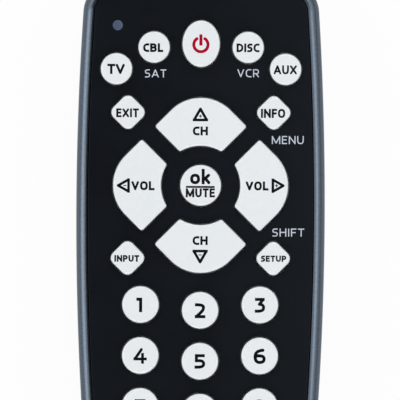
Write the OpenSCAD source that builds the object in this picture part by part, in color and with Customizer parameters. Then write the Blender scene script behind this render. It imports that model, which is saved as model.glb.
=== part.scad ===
// Handheld universal remote control: a long waisted case of two shells, moulded keys on a rubber mat,
// a circuit board, an infrared window and a sliding door over two slim cells.
// X points right, Y towards the infrared end, Z out of the keys. The origin is under the middle of the back.

/* [Case] */
// Length of the case, end to end
body_l = 172; // [164:1:186]
// Width of the case at its widest
body_w = 54; // [52:0.5:60]
// Height of the case from its back to its face
body_h = 22; // [20:0.5:26]
// Distance of the widest place from the infrared end
widest_at = 51.6; // [44:0.2:58]
// Radius of the bulging sides
side_r = 683; // [600:1:800]
// Distance from the infrared end at which the sides turn into a straight taper
taper_at = 106; // [98:1:114]
// Radius of the arched infrared end
top_arch_r = 150; // [120:1:200]
// Corner radius at the infrared end
top_corner_r = 7.3; // [5:0.1:8]
// Radius of the arched palm end
end_arch_r = 40; // [34:1:60]
// Corner radius at the palm end
end_corner_r = 10; // [8:0.5:11]
// Rounding of the rim around the face
rim_round = 2.2; // [1:0.1:2.3]
// Rounding of the edge around the back
back_round = 5; // [3:0.5:6]
// Wall of the rear shell
wall = 2.35; // [2.3:0.05:2.8]
// Floor of the rear shell
floor_t = 1.8; // [1.5:0.1:2]
// Thickness of the face plate
face_t = 1.8; // [1.4:0.1:2]
// Thickness of the skirt under the face plate
skirt_t = 1; // [0.8:0.1:1.2]
// Depth of the skirt under the face plate
skirt_h = 3; // [2:0.1:3.4]

/* [Keys] */
// Diameter of a number key
number_d = 8; // [7:0.1:9]
// Diameter of a source or transport key
small_d = 6.85; // [6:0.05:7.4]
// Spacing of the number columns
column_pitch = 12.94; // [12:0.1:14]
// Spacing of the number rows
row_pitch = 11.05; // [11:0.05:12]
// How far the middle column sits below the outer ones
column_sag = 1.2; // [0:0.1:2]
// Distance of the first number row from the infrared end
number_at = 71.75; // [71.5:0.25:73]
// Gap between the number rows and the transport rows, centre to centre
transport_step = 12.1; // [11:0.1:14]
// Width of the oval power key
power_w = 8.15; // [7:0.05:9]
// Length of the oval power key
power_l = 10.15; // [9:0.05:10.5]
// Distance of the power key from the infrared end
power_at = 15.14; // [14:0.1:15.5]
// Offset of the inner source keys from the middle
source_in_x = 10.2; // [10:0.1:10.6]
// Distance of the inner source keys from the infrared end
source_in_at = 15.9; // [15:0.1:16.4]
// Distance of the outer source keys from the case's side
source_edge = 8.66; // [8.5:0.02:8.8]
// Distance of the outer source keys from the infrared end
source_out_at = 20.63; // [20:0.1:21.5]
// Side of a corner key, a rounded square that stands on its corner
corner_side = 6.08; // [5.4:0.02:6.4]
// Corner radius of a corner key
corner_key_r = 1.6; // [1.2:0.1:2]
// Offset of the corner keys from the pad's centre, both ways
corner_offset = 15.8; // [15.6:0.1:16.4]
// Distance of the pad's centre from the infrared end
pad_at = 45.86; // [45.5:0.1:46.5]
// Half diagonal of the pad before its tips are rounded
pad_half = 22.78; // [21:0.1:23]
// Radius of the pad's tips
pad_tip_r = 9.1; // [7:0.1:10]
// Radius of the pad's inner opening
pad_in_r = 8.57; // [8:0.1:9]
// Width of the slanted gaps between the pad's arms
pad_gap = 3.9; // [3.4:0.1:5]
// Rounding of the corners of a pad arm
arm_corner_r = 0.55; // [0.55:0.05:1]
// Distance of an arm's plunger from the pad's centre
arm_mid = 13.6; // [13:0.1:14]
// Diameter of the middle key
ok_d = 8.9; // [8:0.1:10]
// Height of the keys above the face
key_rise = 1.6; // [1:0.1:2.5]
// Rounding of a key's upper edge
key_edge = 0.5; // [0.3:0.05:0.6]
// Travel of a key
key_travel = 0.9; // [0.5:0.1:1.2]
// Width of the flange that keeps a key behind the face
flange_out = 0.7; // [0.5:0.05:0.8]
// Thickness of that flange
flange_t = 1; // [0.8:0.1:1.2]
// Radius of the plunger under a key
plunger_r = 1.6; // [1.2:0.1:1.7]

/* [Board] */
// Thickness of the circuit board
board_t = 1.2; // [1:0.1:1.6]
// Thickness of a contact pad on the board
pad_t = 0.1; // [0.05:0.05:0.15]
// Radius of a contact pad
pad_r = 1.9; // [1.6:0.1:2.2]
// Thickness of the rubber mat between its domes
mat_t = 0.8; // [0.6:0.1:1]
// Inner radius of a rubber dome
dome_in_r = 2.05; // [2:0.05:2.2]
// Radius of a rubber dome at its foot
dome_foot_r = 3.2; // [2.9:0.1:3.4]
// Radius of a rubber dome at its top
dome_top_r = 2.6; // [2.4:0.1:2.8]
// Diameter of the infrared diode
ir_d = 5; // [4:0.1:6]
// Length of the infrared diode
ir_l = 8.6; // [7:0.1:9]
// Diameter of the indicator lens
lens_d = 2.3; // [1.8:0.1:3]
// Distance of the indicator lens from the case's side
lens_edge = 8.9; // [8.6:0.1:10]
// Distance of the indicator lens from the infrared end
lens_at = 11.15; // [10.6:0.05:12]
// Width of the infrared window
window_w = 20; // [16:0.5:24]
// Height of the infrared window
window_h = 7; // [6:0.5:7.5]
// Radius of a screw's shank
screw_r = 1; // [0.9:0.05:1.1]
// Offset of the screws from the middle
screw_x = 9; // [8.5:0.1:9.5]
// Distance of the screws from the infrared end
screw_at = 25.5; // [25:0.1:26]

/* [Battery bay] */
// Thickness of the deck over the cells
deck_t = 1.2; // [1:0.1:1.6]
// Diameter of a cell
cell_d = 10.5; // [10:0.05:10.6]
// Length of a cell with its nub
cell_l = 44.5; // [43:0.1:45.5]
// Diameter of a cell's nub
nub_d = 3.8; // [3:0.1:4.5]
// Height of a cell's nub
nub_h = 0.9; // [0.8:0.1:1.2]
// Distance between the cells' axes
cell_pitch = 11.2; // [11:0.1:11.6]
// Thickness of a contact plate
contact_t = 0.4; // [0.3:0.05:0.6]
// Length of a contact spring under load
spring_l = 6; // [5.6:0.1:7]
// Wire diameter of a contact spring
wire_d = 0.6; // [0.5:0.05:0.65]
// Curls of a contact spring
spring_curls = 2.5; // [2:0.5:2.5]
// Width of the battery door
door_w = 29; // [28:0.5:30]
// Thickness of the battery door
door_t = 1.7; // [1.4:0.1:1.7]
// Height of the door's end lip
lip_h = 8; // [6:0.5:10]
// Reach of the door's rails beyond its edges
rail_out = 1.5; // [1:0.1:1.6]
// Height of the door's rails
rail_h = 1.05; // [0.8:0.05:1.3]
// Grip grooves across the door
grooves = 5; // [3:1:7]

/* [Fits] */
// Gap between a key and its aperture
key_gap = 0.25; // [0.2:0.05:0.35]
// Gap between the face plate and the rim
face_gap = 0.15; // [0.1:0.05:0.25]
// Gap between a sliding or moving piece and what guides it
slide_gap = 0.2; // [0.15:0.05:0.3]
// Gap between a fixed piece and the hole it sits in
seat_gap = 0.05; // [0.05:0.05:0.1]

/* [Hidden] */
$fn = 64;
// How deep joined shapes run into each other
weld = 0.3;

// Levels, from the face down to the back
face_under = body_h - face_t;
flange_top = face_under - slide_gap;
flange_bot = flange_top - flange_t;
board_top = flange_bot - key_travel - mat_t - slide_gap;
board_bot = board_top - board_t;
mat_top = board_top + mat_t;
key_top = body_h + key_rise;
plunger_bot = board_top + pad_t + key_travel + seat_gap;

ceiling_z = board_bot - deck_t;
cell_z = ceiling_z - slide_gap - cell_d / 2;

// Levels, from the back up to the guides over the door's rails
rail_z = floor_t + slide_gap;
guide_z = rail_z + rail_h + slide_gap;
guide_t = 1.2;
cove_drop = 1;
cove_z = back_round - cove_drop;
cove_step = 1.85;
cove_inset = wall + cove_step;

// Places along the case
top_y = body_l / 2;
end_y = -body_l / 2;
pad_y = top_y - pad_at;
number_y = top_y - number_at;
transport_y = number_y - 3 * row_pitch - transport_step;
screw_y = top_y - screw_at;
lip_t = 3.6;
bay_wall = 1.2;
bay_end_y = end_y + lip_t + slide_gap + bay_wall;
bay_l = cell_l + spring_l + 2 * contact_t;
bay_start_y = bay_end_y + bay_l;
bay_side_gap = 0.5;
bay_half_w = cell_pitch / 2 + cell_d / 2 + bay_side_gap;
bulkhead_t = 1.2;
bulkhead_y = bay_start_y + bay_wall + bulkhead_t;
door_start_y = bay_start_y + bay_wall;
last_row_y = transport_y - row_pitch - column_sag;

// Outline of the case: five arcs and a straight taper on each side
side_c = [body_w / 2 - side_r, top_y - widest_at];
top_c = [0, top_y - top_arch_r];
end_c = [0, end_y + end_arch_r];
taper_a = asin((widest_at - taper_at) / side_r);
taper_n = [cos(taper_a), sin(taper_a)];
end_reach = side_r - end_corner_r - (end_c - side_c) * taper_n;
end_drop = sqrt(pow(end_arch_r - end_corner_r, 2) - end_reach * end_reach);
end_corner_c = end_c + end_reach * taper_n + end_drop * [taper_n[1], -taper_n[0]];
top_corner_c = meet(top_c, top_arch_r - top_corner_r, side_c, side_r - top_corner_r);

// Upper meeting point of two circles, the second one far to the left of the first
function meet(p, a, q, b) =
    let(d = norm(q - p), u = (q - p) / d, t = (a * a - b * b + d * d) / (2 * d))
    p + t * u + sqrt(a * a - t * t) * [u[1], -u[0]];

function heading(p, q) = atan2(q[1] - p[1], q[0] - p[0]);

function arc(c, r, a0, a1, n, first = 0) =
    [for (i = [first:n]) let(a = a0 + (a1 - a0) * i / n) c + r * [cos(a), sin(a)]];

function half_outline(d) =
    let(end_a = heading(end_c, end_corner_c))
    let(top_a = heading(side_c, top_corner_c), arch_a = heading(top_c, top_corner_c))
    concat(
        arc(end_c, end_arch_r - d, -90, end_a, 6),
        arc(end_corner_c, end_corner_r - d, end_a, taper_a, 8, 1),
        arc(side_c, side_r - d, taper_a, top_a, 12),
        arc(top_corner_c, top_corner_r - d, top_a, arch_a, 8, 1),
        arc(top_c, top_arch_r - d, arch_a, 90, 6, 1)
    );

// Outline of the case, drawn in by d all round
function outline(d) =
    let(half = half_outline(d), n = len(half))
    concat(half, [for (i = [n - 2:-1:1]) [-half[i][0], half[i][1]]]);

// Outlines of the keys that aren't round, grown by d
function oval(d) = [for (i = [0:35])
    let(c = cos(i * 10), s = sin(i * 10), n = [power_l * c, power_w * s])
    [power_w / 2 * c, power_l / 2 * s] + d * n / norm(n)];

function diamond(d) =
    let(reach = (corner_side / 2 - corner_key_r) * sqrt(2))
    [for (a = [0:90:270]) each arc(reach * [cos(a), sin(a)], corner_key_r + d, a - 45, a + 45, 6)];

function arm_half(d) =
    let(f = arm_corner_r + d, ri = pad_in_r - d, side = (pad_gap / 2 - d) * sqrt(2))
    let(k = side + f * sqrt(2), x = (sqrt(2 * pow(ri + f, 2) - k * k) - k) / 2)
    let(inner = [x, x + k], far = pad_half + d * sqrt(2) - f * sqrt(2))
    let(outer = [(far - k) / 2, (far + k) / 2], tip = [0, pad_half - pad_tip_r * sqrt(2)])
    concat(
        arc([0, 0], ri, 90, heading([0, 0], inner), 4),
        arc(inner, f, heading(inner, [0, 0]), -45, 4, 1),
        arc(outer, f, -45, 45, 5),
        arc(tip, pad_tip_r + d, 45, 90, 6)
    );

function arm(d) =
    let(half = arm_half(d), n = len(half))
    concat(half, [for (i = [n - 2:-1:1]) [-half[i][0], half[i][1]]]);

// Heights and offsets up the side of a key, from its flange to its rounded top
key_steps = concat(
    [[flange_bot, flange_out], [flange_top, flange_out], [flange_top, 0]],
    [for (a = [0:22.5:90]) [key_top - key_edge * (1 - sin(a)), -key_edge * (1 - cos(a))]]
);

// Keys: name, shape, place and turn
source_out_x = body_w / 2 - source_edge;
source_in_y = top_y - source_in_at;
source_out_y = top_y - source_out_at;
pad_keys = [
    ["key_power", "oval", [0, top_y - power_at], 0],
    ["key_tv", "small", [-source_out_x, source_out_y], 0],
    ["key_cable", "small", [-source_in_x, source_in_y], 0],
    ["key_disc", "small", [source_in_x, source_in_y], 0],
    ["key_aux", "small", [source_out_x, source_out_y], 0],
    ["key_exit", "diamond", [-corner_offset, pad_y + corner_offset], 0],
    ["key_info", "diamond", [corner_offset, pad_y + corner_offset], 0],
    ["key_input", "diamond", [-corner_offset, pad_y - corner_offset], 0],
    ["key_setup", "diamond", [corner_offset, pad_y - corner_offset], 0],
    ["key_channel_up", "arm", [0, pad_y], 0],
    ["key_volume_down", "arm", [0, pad_y], 90],
    ["key_channel_down", "arm", [0, pad_y], 180],
    ["key_volume_up", "arm", [0, pad_y], 270],
    ["key_ok", "ok", [0, pad_y], 0]
];
number_names = ["1", "2", "3", "4", "5", "6", "7", "8", "9", "dash", "0", "enter"];
transport_names = ["rewind", "play", "forward", "record", "stop", "pause"];

function grid_key(names, shape, y, i) =
    let(col = i % 3 - 1, row = floor(i / 3), sag = col == 0 ? column_sag : 0)
    [str("key_", names[i]), shape, [col * column_pitch, y - row * row_pitch - sag], 0];

keys = concat(
    pad_keys,
    [for (i = [0:len(number_names) - 1]) grid_key(number_names, "number", number_y, i)],
    [for (i = [0:len(transport_names) - 1]) grid_key(transport_names, "small", transport_y, i)]
);

function key_d(shape) = shape == "number" ? number_d : shape == "ok" ? ok_d : small_d;
function is_round(shape) = shape == "number" || shape == "ok" || shape == "small";
function key_outline(shape, d) = shape == "oval" ? oval(d) : shape == "diamond" ? diamond(d) : arm(d);
function plunger_at(shape) = shape == "arm" ? [0, arm_mid] : [0, 0];

// Solid through rings of points, each at its own height, with its ends closed around a middle point
module loft(rings, heights, mid) {
    n = len(rings[0]);
    m = len(rings);
    points = concat(
        [for (i = [0:m - 1]) for (p = rings[i]) [p[0], p[1], heights[i]]],
        [[mid[0], mid[1], heights[0]], [mid[0], mid[1], heights[m - 1]]]
    );
    sides = [for (i = [0:m - 2]) for (j = [0:n - 1])
        let(a = i * n + j, b = i * n + (j + 1) % n)
        each [[a, b + n, b], [a, a + n, b + n]]];
    ends = [for (j = [0:n - 1])
        let(a = j, b = (j + 1) % n, t = (m - 1) * n)
        each [[m * n, a, b], [m * n + 1, t + b, t + a]]];
    polyhedron(points, concat(sides, ends));
}

// The whole outside of the case as one solid
module case_body() {
    steps = concat(
        [for (a = [0:15:90]) [back_round * (1 - cos(a)), back_round * (1 - sin(a))]],
        [for (a = [0:18:90]) [body_h - rim_round * (1 - sin(a)), rim_round * (1 - cos(a))]]
    );
    loft([for (s = steps) outline(s[1])], [for (s = steps) s[0]], [0, 0]);
}

// Upright slab of the case's outline, drawn in by d, between two levels
module slab(d, z0, z1) {
    translate([0, 0, z0]) linear_extrude(z1 - z0) polygon(outline(d));
}

// Wall between two insets of the outline
module ring(d0, d1, z0, z1) {
    difference() {
        slab(d0, z0, z1);
        slab(d1, z0 - 1, z1 + 1);
    }
}

// Box about the middle plane, between two places along Y and two levels
module block(half_w, y0, y1, z0, z1) {
    translate([-half_w, y0, z0]) cube([2 * half_w, y1 - y0, z1 - z0]);
}

// Both sides of something drawn on the right
module both_sides() {
    children();
    mirror([1, 0, 0]) children();
}

module post(r, x, y, z0, z1) {
    translate([x, y, z0]) cylinder(r = r, h = z1 - z0);
}

// Moves a plunger's work to its key
module at_plunger(k) {
    translate(k[2]) rotate(k[3]) translate(plunger_at(k[1])) children();
}

// Snap hooks along the sides: their places, and what they are made of
hook_at = 26;
hook_pitch = 42;
hook_step = 7;
hook_ys = [top_y - hook_at, top_y - hook_at - hook_pitch, bulkhead_y + hook_step];
hook_l = 6;
hook_drop = 4;
barb_out = 0.6;
barb_h = 1;
skirt_bot = face_under - skirt_h;
hook_bot = skirt_bot - hook_drop;
skirt_in = wall + face_gap + skirt_t;
boss_r = 2.4;

module hook_zone(grow, z0, z1) {
    for (y = hook_ys) block(body_w, y - hook_l / 2 - grow, y + hook_l / 2 + grow, z0, z1);
}

module hooks() {
    intersection() {
        ring(wall + face_gap, skirt_in, hook_bot, skirt_bot + weld);
        hook_zone(0, hook_bot - 1, body_h);
    }
    intersection() {
        ring(wall - barb_out, wall + face_gap + weld, hook_bot, hook_bot + barb_h);
        hook_zone(-slide_gap, hook_bot - 1, body_h);
    }
}

module hook_recesses() {
    intersection() {
        ring(wall - barb_out - slide_gap, wall + weld, hook_bot - slide_gap, hook_bot + barb_h + slide_gap);
        hook_zone(slide_gap, 0, body_h);
    }
}

module aperture(k) {
    translate([k[2][0], k[2][1], face_under - 1]) rotate(k[3])
        if (is_round(k[1])) cylinder(r = key_d(k[1]) / 2 + key_gap, h = face_t + 2);
        else linear_extrude(face_t + 2) polygon(key_outline(k[1], key_gap));
}

lens_x = -(body_w / 2 - lens_edge);
lens_y = top_y - lens_at;
lens_flange = 0.7;
lens_flange_t = 1;
indicator_size = [1.6, 1.2, 0.9];
indicator_air = 0.3;
rib_half_w = 10;
rib_t = 1.4;
rib_step = 12;
rib_y = bay_end_y + rib_step;

// Black face plate with its skirt, snap hooks, screw bosses and a rib that stands on the battery deck
module front_shell() {
    color([0.1, 0.11, 0.13])
    difference() {
        union() {
            slab(wall + face_gap, face_under, body_h);
            ring(wall + face_gap, skirt_in, skirt_bot, face_under + weld);
            hooks();
            both_sides() post(boss_r, screw_x, screw_y, board_top, face_under + weld);
            block(rib_half_w, rib_y, rib_y + rib_t, board_bot, face_under + weld);
        }
        for (k = keys) aperture(k);
        both_sides() post(screw_r + seat_gap, screw_x, screw_y, board_top - 1, face_under);
        post(lens_d / 2 + seat_gap, lens_x, lens_y, face_under - 1, body_h + 1);
    }
}

screw_grip = 4.9;
screw_seat_z = board_bot - screw_grip;
screw_post_r = 3.2;
screw_head_r = 2;
screw_head_h = 1.4;
screw_bore_gap = 0.15;
head_bore_gap = 0.3;
support_r = 1.8;
support_edge = 8;
support_x = body_w / 2 - support_edge;
support_at = 66;
support_pitch = 26;
support_ys = [top_y - support_at, top_y - support_at - support_pitch];
terminal_slot = 2.6;
tail_w = 2;
ir_drop = 2;
ir_z = board_bot - ir_d / 2 - ir_drop;
window_flange = 1;
window_flange_out = 1.1;

module terminal_slots() {
    both_sides()
        translate([cell_pitch / 2 - terminal_slot / 2, bay_start_y - contact_t - slide_gap, ceiling_z - 1])
            cube([terminal_slot, contact_t + 2 * slide_gap, board_bot - ceiling_z + 2]);
}

// Room for the sliding door: its plate, its rails and its end lip
module door_opening() {
    block(door_w / 2 + slide_gap, end_y - 1, door_start_y + slide_gap, -1, guide_z);
    block(door_w / 2 + rail_out + slide_gap, end_y - 1, door_start_y + slide_gap, floor_t, guide_z);
    block(door_w / 2 + slide_gap, end_y - 1, bay_end_y - bay_wall, -1, lip_h + slide_gap);
}

module battery_frame() {
    top = ceiling_z + weld;
    difference() {
        union() {
            intersection() {
                slab(wall - weld, guide_z, guide_z + guide_t);
                block(body_w, end_y, bulkhead_y, 0, body_h);
            }
            block(bay_half_w + bay_wall, bay_end_y - bay_wall, bay_start_y + bay_wall, guide_z, top);
        }
        block(bay_half_w, bay_end_y, bay_start_y, 0, ceiling_z);
    }
    intersection() {
        slab(wall - weld, ceiling_z, board_bot);
        block(body_w, end_y, bulkhead_y, 0, body_h);
    }
    intersection() {
        slab(wall - weld, floor_t - weld, ceiling_z + weld);
        block(body_w, door_start_y + slide_gap, bulkhead_y, 0, body_h);
    }
}

// Gunmetal tub whose rounded rim shows around the face
module rear_shell() {
    color([0.42, 0.46, 0.5])
    difference() {
        union() {
            difference() {
                case_body();
                slab(cove_inset, floor_t, cove_z + weld);
                slab(wall, cove_z, body_h + 1);
            }
            battery_frame();
            both_sides() post(screw_post_r, screw_x, screw_y, floor_t - weld, board_bot);
            for (y = support_ys) both_sides() post(support_r, support_x, y, floor_t - weld, board_bot);
        }
        door_opening();
        terminal_slots();
        hook_recesses();
        both_sides() post(screw_r + screw_bore_gap, screw_x, screw_y, -1, body_h);
        both_sides() post(screw_head_r + head_bore_gap, screw_x, screw_y, -1, screw_seat_z);
        block(window_w / 2 + seat_gap, screw_y, top_y + 1,
            ir_z - window_h / 2 - seat_gap, ir_z + window_h / 2 + seat_gap);
    }
}

rail_in = 2;
groove_l = 14;
groove_w = 1;
groove_depth = 0.5;
groove_pitch = 2.2;
groove_from = 7;

// Sliding door over the cells, with side rails, an end lip and grip grooves
module battery_door() {
    rail_l = door_start_y - end_y + 1;
    color([0.4, 0.44, 0.48])
    difference() {
        intersection() {
            case_body();
            union() {
                block(door_w / 2, end_y - 1, door_start_y, -1, door_t);
                both_sides() translate([door_w / 2 - rail_in, end_y - 1, door_t - weld])
                    cube([rail_in, rail_l, rail_z + rail_h - door_t + weld]);
                both_sides() translate([door_w / 2 - rail_in, end_y - 1, rail_z])
                    cube([rail_in + rail_out, rail_l, rail_h]);
                block(door_w / 2, end_y - 1, bay_end_y - bay_wall - slide_gap, -1, lip_h);
            }
        }
        for (i = [0:grooves - 1]) {
            y = door_start_y - groove_from - i * groove_pitch;
            block(groove_l / 2, y - groove_w, y, -1, groove_depth);
        }
    }
}

// Dark window in the end wall, held by a flange behind the wall
module ir_window() {
    color([0.12, 0.03, 0.05])
    union() {
        intersection() {
            ring(0, wall + seat_gap + window_flange, ir_z - window_h / 2, ir_z + window_h / 2);
            block(window_w / 2, screw_y, top_y + 1, 0, body_h);
        }
        intersection() {
            ring(wall + seat_gap, wall + seat_gap + window_flange,
                ir_z - window_h / 2 - window_flange_out, ir_z + window_h / 2 + window_flange_out);
            block(window_w / 2 + window_flange_out, screw_y, top_y + 1, 0, body_h);
        }
    }
}

// Clear light pipe between the indicator diode and the face
module indicator_lens() {
    low = board_top + indicator_size[2] + indicator_air;
    color([0.35, 0.42, 0.52])
    union() {
        post(lens_d / 2, lens_x, lens_y, low, body_h);
        post(lens_d / 2 + lens_flange, lens_x, lens_y, face_under - lens_flange_t, face_under);
    }
}

mat_side_gap = 0.5;
mat_inset = skirt_in + mat_side_gap;
mat_top_gap = 6.5;
mat_top_y = top_y - mat_top_gap;
mat_end_gap = 6;
mat_end_y = last_row_y - mat_end_gap;

// Rubber mat with a hollow dome under every key
module keypad_mat() {
    dome_h = flange_bot - seat_gap - mat_top + weld;
    color([0.75, 0.75, 0.72])
    difference() {
        union() {
            intersection() {
                slab(mat_inset, board_top, mat_top);
                block(body_w, mat_end_y, mat_top_y, 0, body_h);
            }
            for (k = keys) at_plunger(k) translate([0, 0, mat_top - weld])
                cylinder(r1 = dome_foot_r, r2 = dome_top_r, h = dome_h);
        }
        for (k = keys) at_plunger(k) translate([0, 0, board_top - 1])
            cylinder(r = dome_in_r, h = body_h);
        both_sides() post(boss_r + slide_gap, screw_x, screw_y, board_top - 1, body_h);
        post(lens_d / 2 + lens_flange, lens_x, lens_y, board_top - 1, body_h);
    }
}

board_side_gap = 0.6;
board_inset = skirt_in + board_side_gap;
board_top_gap = 7;
board_top_y = top_y - board_top_gap;
board_end_gap = 7;
board_end_y = last_row_y - board_end_gap;

// Circuit board on the screw posts, the side posts and the battery deck
module circuit_board() {
    color([0.16, 0.36, 0.2])
    difference() {
        intersection() {
            slab(board_inset, board_bot, board_top);
            block(body_w, board_end_y, board_top_y, 0, body_h);
        }
        both_sides() post(screw_r + head_bore_gap, screw_x, screw_y, board_bot - 1, body_h);
    }
}

// Carbon contact pads on the board, one under each plunger
module contact_pads() {
    color([0.15, 0.15, 0.15])
    for (k = keys) at_plunger(k) translate([0, 0, board_top]) cylinder(r = pad_r, h = pad_t);
}

chip_w = 7.5;
chip_l = 12.8;
chip_t = 2.2;
chip_step = 18;
chip_y = pad_y - chip_step;
chip_leg_w = 0.5;
chip_leg_pitch = 1.27;
chip_leg_out = 1.4;
chip_leg_t = 0.5;
chip_lift = 0.2;
chip_legs = 9;

// Control chip under the board, with two rows of legs
module controller_chip() {
    color([0.08, 0.08, 0.09])
    union() {
        block(chip_w / 2, chip_y - chip_l / 2, chip_y + chip_l / 2,
            board_bot - chip_t, board_bot - chip_lift);
        for (i = [0:chip_legs - 1]) {
            y = chip_y + (i - (chip_legs - 1) / 2) * chip_leg_pitch;
            block(chip_w / 2 + chip_leg_out, y - chip_leg_w / 2, y + chip_leg_w / 2,
                board_bot - chip_leg_t, board_bot);
        }
    }
}

resonator_size = [2.5, 5, 4];
capacitor_r = 2.5;
capacitor_h = 6;
capacitor_neck = 0.3;
capacitor_foot = 0.4;
chip_side_gap = 5;

// Ceramic resonator under the board
module resonator() {
    color([0.2, 0.35, 0.6])
    translate([chip_w / 2 + chip_side_gap, chip_y - resonator_size[1] / 2, board_bot - resonator_size[2]])
        cube(resonator_size);
}

// Round capacitor that hangs under the board
module capacitor() {
    x = -(chip_w / 2 + chip_side_gap + capacitor_r);
    color([0.12, 0.14, 0.3])
    union() {
        post(capacitor_r, x, chip_y, board_bot - capacitor_h, board_bot - capacitor_foot);
        post(capacitor_r - capacitor_neck, x, chip_y, board_bot - capacitor_foot - weld, board_bot);
    }
}

resistor_size = [1.2, 2, 0.6];
resistor_pitch = 3.6;
resistor_count = 5;
resistor_step = 12;
resistor_y = screw_y - resistor_step;
driver_size = [3, 1.4, 1.1];
driver_step = 5;
driver_y = screw_y - driver_step;

// Small chip resistors and the infrared diode's driver under the board
module chip_components() {
    color([0.55, 0.5, 0.42])
    union() {
        for (i = [0:resistor_count - 1])
            translate([(i - (resistor_count - 1) / 2) * resistor_pitch - resistor_size[0] / 2, resistor_y,
                board_bot - resistor_size[2]])
                cube(resistor_size);
        translate([-driver_size[0] / 2, driver_y, board_bot - driver_size[2]]) cube(driver_size);
    }
}

ir_air = 0.6;
ir_front_y = top_y - wall - seat_gap - window_flange - ir_air;
ir_rim = 0.4;
ir_rim_l = 1;
ir_back_y = ir_front_y - ir_l;
ir_leg = 0.5;
ir_leg_gap = 1.27;
ir_foot = 1.5;

// Infrared diode behind the window, with bent legs up to the board
module ir_diode() {
    color([0.55, 0.6, 0.75])
    union() {
        translate([0, ir_back_y, ir_z]) rotate([-90, 0, 0]) cylinder(r = ir_d / 2 + ir_rim, h = ir_rim_l);
        translate([0, ir_back_y, ir_z]) rotate([-90, 0, 0]) cylinder(r = ir_d / 2, h = ir_l - ir_d / 2);
        translate([0, ir_front_y - ir_d / 2, ir_z]) sphere(r = ir_d / 2);
        both_sides() translate([ir_leg_gap - ir_leg / 2, ir_back_y - ir_foot, ir_z - ir_leg / 2])
            cube([ir_leg, ir_foot + weld, ir_leg]);
        both_sides() translate([ir_leg_gap - ir_leg / 2, ir_back_y - ir_foot, ir_z - ir_leg / 2])
            cube([ir_leg, ir_leg, board_bot - ir_z + ir_leg / 2]);
    }
}

// Surface diode on the board under the light pipe
module indicator_diode() {
    color([0.85, 0.2, 0.15])
    translate([lens_x - indicator_size[0] / 2, lens_y - indicator_size[1] / 2, board_top])
        cube(indicator_size);
}

cell_bevel = 0.4;

// One cell from its flat end at the origin to its nub, along Y
module cell() {
    can_l = cell_l - nub_h;
    rotate([-90, 0, 0]) rotate_extrude() polygon([
        [0, 0], [cell_d / 2 - cell_bevel, 0], [cell_d / 2, cell_bevel], [cell_d / 2, can_l - cell_bevel],
        [cell_d / 2 - cell_bevel, can_l], [nub_d / 2, can_l], [nub_d / 2, cell_l], [0, cell_l]
    ]);
}

// Left cell, nub towards the infrared end
module battery_left() {
    color([0.2, 0.3, 0.42])
    translate([-cell_pitch / 2, bay_end_y + contact_t + spring_l, cell_z]) cell();
}

// Right cell, the other way round
module battery_right() {
    color([0.2, 0.3, 0.42])
    translate([cell_pitch / 2, bay_start_y - contact_t - spring_l, cell_z]) rotate(180) cell();
}

plate_half = 4.2;
plate_low = 3.6;
plate_high = 4.4;

// Contact plate against the bay's inner wall, with a tail up to the board
module terminal(x) {
    y0 = bay_start_y - contact_t;
    translate([x - plate_half, y0, cell_z - plate_low])
        cube([2 * plate_half, contact_t, plate_low + plate_high]);
    translate([x - tail_w / 2, y0, cell_z]) cube([tail_w, contact_t, board_bot - cell_z]);
}

module positive_terminal() {
    color([0.8, 0.8, 0.78]) union() terminal(-cell_pitch / 2);
}

module negative_terminal() {
    color([0.8, 0.8, 0.78]) union() terminal(cell_pitch / 2);
}

// Plate across the palm end of the bay that links the two cells
module link_contact() {
    color([0.8, 0.8, 0.78])
    block(cell_pitch / 2 + plate_half, bay_end_y, bay_end_y + contact_t,
        cell_z - plate_low, cell_z + plate_high);
}

// Path of a contact spring along Z: a straight end, a bend, tapering curls, a bend and a straight end
spring_foot_r = 3.2;
spring_tip_r = 2;
spring_bend = 0.45;
spring_rise = spring_l - 2 * (wire_d + spring_bend);
curl_rings = 8;
tube_sides = 6;
bend_rings = 3;

function spring_end(r, turn, sense) =
    let(across = sense * [-sin(turn), cos(turn), 0], start = [r * cos(turn), r * sin(turn), 0])
    concat(
        [start - spring_bend * across - (spring_bend + wire_d) * [0, 0, 1]],
        [for (i = [0:bend_rings - 1]) let(a = 90 * i / bend_rings)
            start - spring_bend * cos(a) * across + spring_bend * (sin(a) - 1) * [0, 0, 1]]
    );

function spring_path() =
    let(turns = 360 * spring_curls, n = curl_rings * spring_curls)
    let(lift = [0, 0, spring_bend + wire_d])
    let(tip = [for (p = spring_end(spring_tip_r, turns, -1)) [p[0], p[1], spring_rise - p[2]] + lift])
    concat(
        [for (p = spring_end(spring_foot_r, 0, 1)) p + lift],
        [for (i = [0:n]) let(t = i / n, r = spring_foot_r + (spring_tip_r - spring_foot_r) * t)
            [r * cos(turns * t), r * sin(turns * t), spring_rise * t] + lift],
        [for (i = [len(tip) - 1:-1:0]) tip[i]]
    );

spring_points = spring_path();

function unit(v) = v / norm(v);
function path_dir(p, i) = i == 0 || i == len(p) - 1 ? [0, 0, 1] : unit(p[i + 1] - p[i - 1]);
function path_len(p, i, j) = i == j ? 0 : norm(p[i + 1] - p[i]) + path_len(p, i + 1, j);

// Least gap of the spring's wire to itself, between places over a curl's half apart along the wire
spring_gap = min([for (i = [0:len(spring_points) - 2]) for (j = [i + 1:len(spring_points) - 1])
    if (path_len(spring_points, i, j) > PI * spring_tip_r)
        norm(spring_points[j] - spring_points[i])]) - wire_d;
echo(least_spring_gap_mm = spring_gap);

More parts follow.
